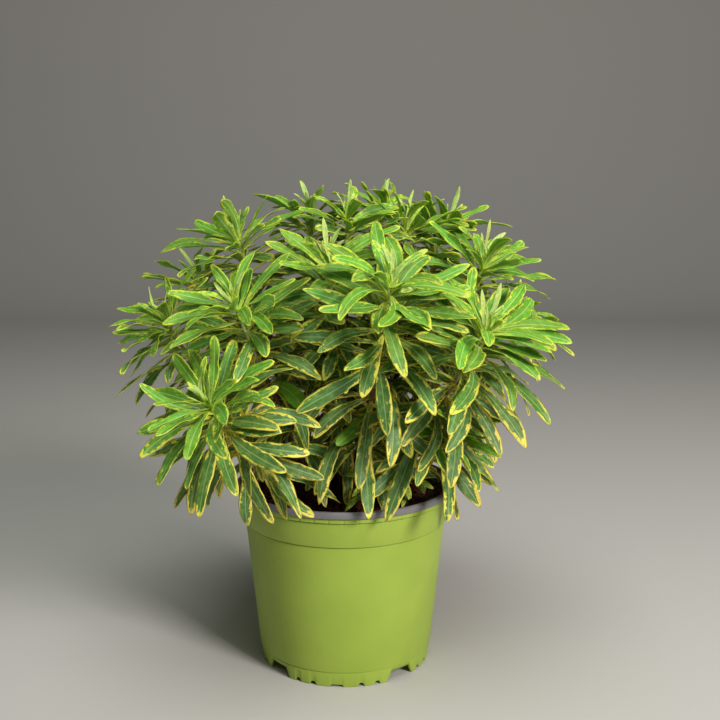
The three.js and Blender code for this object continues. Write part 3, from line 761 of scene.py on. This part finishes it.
def leaf_material():
    """A living leaf: a waxy cuticle with a satin gloss over green flesh, and bands without green along
    the margins. Its patterns lie on a map of the blade, 20 mm across and 50 mm along."""
    material, shader = new_material("leaf_variegated")
    age, seed, margin, under = [
        add_node(material, "ShaderNodeAttribute", {}, attribute_name=stored).outputs["Fac"]
        for stored in ("age", "seed", "margin", "under")]
    flat = add_node(material, "ShaderNodeUVMap", {}, uv_map="blade")
    parts = add_node(material, "ShaderNodeSeparateXYZ", {0: flat}).outputs
    far = add_node(material, "ShaderNodeMath", {0: seed, 1: 211.0}, operation="MULTIPLY")
    shift = add_node(material, "ShaderNodeCombineXYZ", {0: far, 1: far, 2: far})
    ripe = add_node(material, "ShaderNodeMapRange", {
        "Value": age, 1: 0.12, 2: 0.75}, interpolation_type="SMOOTHSTEP")

    # Each noise's number of waves on the map across and along, its detail and its roughness: the
    # margin's feathers of about 1.3 mm by 3.6 mm, its swells of 7 mm by 10 mm, the green's streaks of
    # 0.4 mm by 12 mm, the mottle of 3 mm in which they fade, and the specks of 0.5 mm.
    noises = []
    for across, along, detail, roughness in (
            (15, 14, 5, 0.6), (3, 5, 1, 0.5), (48, 4, 2, 0.5), (7, 16, 3, 0.5), (40, 90, 2, 0.5)):
        place = add_node(material, "ShaderNodeMapping", {
            "Vector": flat, "Location": shift, "Scale": (across, along, 1)})
        noises.append(add_node(material, "ShaderNodeTexNoise", {
            "Vector": place, "Scale": 1, "Detail": detail, "Roughness": roughness}).outputs["Fac"])
    feather_noise, swell_noise, streak_noise, mottle, speck_noise = noises
    feather, swell = [
        add_node(material, "ShaderNodeMapRange", {"Value": noise, 1: 0.3, 2: 0.7})
        for noise in (feather_noise, swell_noise)]
    mixed = add_node(material, "ShaderNodeMath", {0: streak_noise, 1: mottle}, operation="ADD")
    streak = add_node(material, "ShaderNodeMapRange", {
        "Value": mixed, 1: 0.85, 2: 1.25}, interpolation_type="SMOOTHSTEP")

    # How far the margin reaches in, in mm: a band, wider where it swells and at the tip, and feathers.
    band = add_node(material, "ShaderNodeMapRange", {"Value": swell, 3: 0.12, 4: 0.8})
    at_tip = add_node(material, "ShaderNodeMapRange", {
        "Value": parts[1], 1: 0.75, 2: 1.0, 3: 0.0, 4: 0.5}, interpolation_type="SMOOTHSTEP")
    length_of = add_node(material, "ShaderNodeMapRange", {"Value": swell, 3: 0.2, 4: 2.4})
    signed = add_node(material, "ShaderNodeMapRange", {"Value": feather, 3: -0.55, 4: 1.2})
    feathered = add_node(material, "ShaderNodeMath", {
        0: signed, 1: length_of, 2: band}, operation="MULTIPLY_ADD")
    reach = add_node(material, "ShaderNodeMath", {0: feathered, 1: at_tip}, operation="ADD")
    # It is narrower on the young leaves, and 0.28 mm wide at least.
    share = add_node(material, "ShaderNodeMapRange", {"Value": ripe, 3: 0.85, 4: 1.05})
    reach = add_node(material, "ShaderNodeMath", {0: reach, 1: share}, operation="MULTIPLY")
    reach = add_node(material, "ShaderNodeMath", {0: reach, 1: 0.28}, operation="MAXIMUM")
    inside = add_node(material, "ShaderNodeMath", {0: reach, 1: margin}, operation="SUBTRACT")
    in_margin = add_node(material, "ShaderNodeMapRange", {"Value": inside, 1: -0.08, 2: 0.08})
    # A paler zone of up to 2 mm lies inside the margin, where the feathers run out.
    zone = add_node(material, "ShaderNodeMath", {
        0: feather, 1: 3.0, 2: inside}, operation="MULTIPLY_ADD")
    pale = add_node(material, "ShaderNodeMapRange", {
        "Value": zone, 1: 1.1, 2: 2.6, 4: 0.5}, interpolation_type="SMOOTHSTEP")
    # The midrib is 0.6 mm wide, and 1.3 mm at the root, and fades towards the tip.
    aside = add_node(material, "ShaderNodeMath", {0: parts[0], 1: 0.5}, operation="SUBTRACT")
    from_middle = add_node(material, "ShaderNodeMath", {0: aside}, operation="ABSOLUTE")
    half_rib = add_node(material, "ShaderNodeMapRange", {
        "Value": parts[1], 2: 0.45, 3: 0.036, 4: 0.016}, interpolation_type="SMOOTHSTEP")
    ratio = add_node(material, "ShaderNodeMath", {0: from_middle, 1: half_rib}, operation="DIVIDE")
    faded = add_node(material, "ShaderNodeMapRange", {"Value": parts[1], 3: 1.0, 4: 0.5})
    rib_edge = add_node(material, "ShaderNodeMapRange", {"Value": ratio, 1: 1.3, 2: 0.5})
    rib = add_node(material, "ShaderNodeMath", {0: rib_edge, 1: faded}, operation="MULTIPLY")
    # The blade pales over its lowest 12 mm, where it is hardly more than the rib.
    root = add_node(material, "ShaderNodeMapRange", {"Value": parts[1], 1: 0.25, 2: 0.05, 4: 0.75})
    rib = add_node(material, "ShaderNodeMath", {0: rib, 1: root}, operation="MAXIMUM")
    # Dried drops leave pale specks on the older leaves.
    dusty = add_node(material, "ShaderNodeMath", {
        0: mottle, 1: 0.5, 2: speck_noise}, operation="MULTIPLY_ADD")
    speck = add_node(material, "ShaderNodeMapRange", {"Value": dusty, 1: 0.9, 2: 1.0, 4: 0.4})
    speck = add_node(material, "ShaderNodeMath", {0: speck, 1: ripe}, operation="MULTIPLY")
    newest = add_node(material, "ShaderNodeMapRange", {"Value": age, 1: 0.0, 2: -0.3, 4: 0.5})

    # Each colour on a young leaf and on an old one: the green, its streaks, the paler zone, the midrib
    # and the margin.
    green, streaks, paler, midrib_colour, margin_colour = [
        add_node(material, "ShaderNodeMix", {
            0: ripe, 6: linear(young), 7: linear(old)}, data_type="RGBA").outputs[2]
        for young, old in (("#659F2E", "#4C7238"), ("#82B238", "#6C9248"), ("#ACC038", "#A8B04E"),
                           ("#B9D47E", "#A4BA7C"), ("#C2D642", "#EADC5A"))]
    for amount, colour in ((streak, streaks), (pale, paler)):
        green = add_node(material, "ShaderNodeMix", {
            0: amount, 6: green, 7: colour}, data_type="RGBA").outputs[2]
    back = add_node(material, "ShaderNodeMix", {
        0: 0.45, 6: green, 7: linear("#8AA858")}, data_type="RGBA").outputs[2]
    flesh = green
    for amount, colour in (
            (under, back), (rib, midrib_colour), (in_margin, margin_colour),
            (speck, linear("#C4CAB4")), (newest, linear("#C0D28C"))):
        flesh = add_node(material, "ShaderNodeMix", {
            0: amount, 6: flesh, 7: colour}, data_type="RGBA").outputs[2]
    hue = add_node(material, "ShaderNodeMapRange", {"Value": seed, 3: 0.49, 4: 0.512})
    bright = add_node(material, "ShaderNodeMapRange", {"Value": seed, 3: 0.93, 4: 1.07})
    varied = add_node(material, "ShaderNodeHueSaturation", {"Hue": hue, "Value": bright, "Color": flesh})
    bump = add_node(material, "ShaderNodeBump", {"Height": mixed, "Distance": 0.0003, "Strength": 0.6})
    material.node_tree.links.new(varied.outputs[0], shader.inputs["Base Color"])
    material.node_tree.links.new(bump.outputs[0], shader.inputs["Normal"])
    for finish, value in (
            ("Roughness", 0.5), ("Specular IOR Level", 0.35), ("Subsurface Weight", 0.25),
            ("Subsurface Radius", (0.6, 1.0, 0.25)), ("Subsurface Scale", 0.0012)):
        shader.inputs[finish].default_value = value
    return material


def store(piece, name, values):
    """Keeps one number for each point of a mesh, for its material to read."""
    layer = piece.data.attributes.new(name, "FLOAT", "POINT")
    layer.data.foreach_set("value", np.asarray(values, float).ravel())


def add_leafy_stem(name, stem_part, leaf_part, materials):
    """One mesh of a stem and its leaves, each a closed body, with what their materials read."""
    stem_points, stem_down = stem_part
    leaf_points, leaf_values = leaf_part
    keep, stem_quads, stem_tris = closed_tube(*stem_points.shape[:2])
    stem_count = len(keep)
    blades, rows, ring = leaf_points.shape[:3]
    leaf_keep, leaf_quads, leaf_tris = closed_tube(rows, ring)
    offset = stem_count + np.arange(blades)[:, None, None] * len(leaf_keep)
    points = np.concatenate([
        stem_points.reshape(-1, 3)[keep], leaf_points.reshape(blades, -1, 3)[:, leaf_keep].reshape(-1, 3)])
    quads = np.concatenate([stem_quads, (leaf_quads[None] + offset).reshape(-1, 4)])
    tris = np.concatenate([stem_tris, (leaf_tris[None] + offset).reshape(-1, 3)])
    piece = add_piece(name, points, quads, tris, materials)
    is_leaf = np.concatenate([quads[:, 0], tris[:, 0]]) >= stem_count
    piece.data.polygons.foreach_set("material_index", is_leaf.astype(np.int32))
    store(piece, "down", np.concatenate([stem_down[keep], np.zeros(len(points) - stem_count)]))
    flat = {key: part.reshape(blades, -1)[:, leaf_keep].ravel() for key, part in leaf_values.items()}
    for key in ("margin", "under", "age", "seed"):
        store(piece, key, np.concatenate([np.zeros(stem_count), flat[key]]))
    corner = np.zeros(len(piece.data.loops), np.int32)
    piece.data.loops.foreach_get("vertex_index", corner)
    places = np.stack([np.concatenate([np.zeros(stem_count), flat[key]]) for key in ("u", "v")], axis=-1)
    layer = piece.data.uv_layers.new(name="blade")
    layer.data.foreach_set("uv", places[corner].ravel())
    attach(piece, "root")
    return piece


def node_corners(name):
    """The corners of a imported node's mesh, in millimetres from the pot's axis."""
    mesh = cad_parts[name].data
    places = np.zeros(3 * len(mesh.vertices), np.float32)
    mesh.vertices.foreach_get("co", places)
    return places.reshape(-1, 3) / METRES - POT_AXIS


def plans_together(plans):
    """A list of plans of single leaves as one plan of them all."""
    return {key: np.concatenate([np.atleast_1d(plan[key]) for plan in plans]) for key in plans[0]}


stem_skin = bark_material()
leaf_flesh = leaf_material()
curves = [stem_curve(tip, fan) for name, tip, fan, *_ in STEMS]
lengths = [curve_length(curve) for curve in curves]

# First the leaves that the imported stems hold, and the places that they and the round leaves take. A
# round leaf also keeps the leaves of other stems out of a path in front of it, so that it shows.
grown = []
taken = []
for index, (name, _, _, leaves, _, _) in enumerate(STEMS):
    curve, length = curves[index], lengths[index]
    corners = node_corners(name)
    numbers = [leaf for leaf in range(1, leaves) if leaf % 2 or leaf > YOUNG_LEAVES]
    found = [packed_leaf(index, curve, length, leaf, corners) for leaf in numbers]
    grown.append([plan for plan in found if plan is not None])
    taken.append(test_points(curve, length, plans_together(grown[index])).reshape(-1, 3))
    if name in ROUND_LEAVES:
        round_points = test_points(curve, length, round_leaf(ROUND_LEAVES[name])).reshape(-1, 3)
        taken += [round_points + (0, -step, 0.25 * step) for step in range(0, CLEAR_PATH, 2)]
taken = np.concatenate(taken)

# Then the leaves that stand between them where there is room, and the newest and the round ones.
for index, (name, _, _, leaves, leaf_length, leafy) in enumerate(STEMS):
    curve, length = curves[index], lengths[index]
    extra = list(range(2, min(leaves, YOUNG_LEAVES + 1), 2))
    extra += [leaf + 0.5 for leaf in range(2, leaves)] + list(range(leaves, leaves + 5))
    extra += [leaf + 0.25 for leaf in range(3, leaves, 3)]
    for leaf in extra:
        found = added_leaf(index, curve, length, leaf, taken)
        if found is not None:
            grown[index].append(found[0])
            taken = np.concatenate([taken, found[1]])
    plain = [round_leaf(ROUND_LEAVES[name])] if name in ROUND_LEAVES else []
    plan = plans_together(grown[index] + [bud_plan(index)] + plain)
    seed = draw(index, np.arange(len(plan["age"])), 40)
    ripeness = 1.0 if leaf_length > SHOOT_LEAF_LENGTH else SHOOT_RIPENESS
    blades = blade_surface(curve, length, plan, seed, ripeness)
    is_round = (plan["width"] > ROUND_SHARE * plan["length"])[:, None, None]
    blades[1]["margin"] = blades[1]["margin"] + NO_MARGIN * is_round
    stem = stem_surface(index, curve, length, leafy)
    piece = add_leafy_stem("leafy_" + name, stem, blades, [stem_skin, leaf_flesh])
    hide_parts(name)


# The floor and backdrop: one pale matt sheet, curved up behind the plant.

FLOOR_HALF = 2.5
BACKDROP_DISTANCE = 1.6
BACKDROP_CURVE = 0.7
BACKDROP_HEIGHT = 3.0


def backdrop_surface():
    """A profile along Y, flat, then a quarter circle, then straight up, carried across X."""
    bend = np.linspace(0, math.pi / 2, 24)
    y = BACKDROP_DISTANCE + BACKDROP_CURVE * np.sin(bend)
    y = np.concatenate([[-FLOOR_HALF], y, [BACKDROP_DISTANCE + BACKDROP_CURVE]])
    z = np.concatenate([[0], BACKDROP_CURVE * (1 - np.cos(bend)), [BACKDROP_HEIGHT]])
    x = np.array([-FLOOR_HALF, FLOOR_HALF])
    points = np.stack(np.broadcast_arrays(x, y[:, None], z[:, None]), axis=-1)
    return points / METRES - POT_AXIS, grid_faces(len(y), 2)


paper, paper_shader = new_material("paper_matt_pale")
paper_shader.inputs["Base Color"].default_value = linear("#C4C0C0")
paper_shader.inputs["Roughness"].default_value = 0.9
backdrop = add_piece("backdrop", *backdrop_surface(), np.zeros((0, 3), int), [paper])


# The light: a soft, slightly warm lamp in front on the right, above the plant, and a large weaker one
# overhead. They stand in a dim room of the pale green that leaves reflect.


def add_lamp(name, place, size, power, colour, aim):
    """A square soft lamp at a place in metres, turned to an aim."""
    lamp = bpy.data.lights.new(name, "AREA")
    lamp.size = size
    lamp.energy = power
    lamp.color = linear(colour)[:3]
    piece = bpy.data.objects.new(name, lamp)
    piece.location = place
    piece.rotation_euler = (Vector(aim) - Vector(place)).to_track_quat("-Z", "Y").to_euler()
    bpy.context.scene.collection.objects.link(piece)


AIM = (0, 0, 0.17)
add_lamp("key", (0.97, -1.12, 0.9), 0.45, 24.8, "#FFF9F2", AIM)
add_lamp("overhead", (0.0, -0.5, 1.5), 1.0, 14.5, "#F5FBF0", AIM)
room = bpy.data.worlds.new("room")
room.use_nodes = True
room.node_tree.nodes["Background"].inputs["Color"].default_value = linear("#D8E8CE")
room.node_tree.nodes["Background"].inputs["Strength"].default_value = 0.065
bpy.context.scene.world = room


# The camera: a little above the plant, looking ten degrees down, as the photograph does.

CAMERA_DISTANCE = 660.3
CAMERA_HEIGHT = 310.7
CAMERA_ASIDE = 9.55
CAMERA_PITCH = 9.978
CAMERA_LENS = 53.0

camera_data = bpy.data.cameras.new("camera")
camera_data.lens = CAMERA_LENS
camera_data.sensor_width = 36
camera_data.clip_start = 0.01
camera = bpy.data.objects.new("camera", camera_data)
camera.location = (POT_AXIS + (CAMERA_ASIDE, -CAMERA_DISTANCE, CAMERA_HEIGHT)) * METRES
camera.rotation_euler = (math.radians(90 - CAMERA_PITCH), 0, 0)
bpy.context.scene.collection.objects.link(camera)
bpy.context.scene.camera = camera
bpy.context.scene.view_settings.view_transform = "Standard"
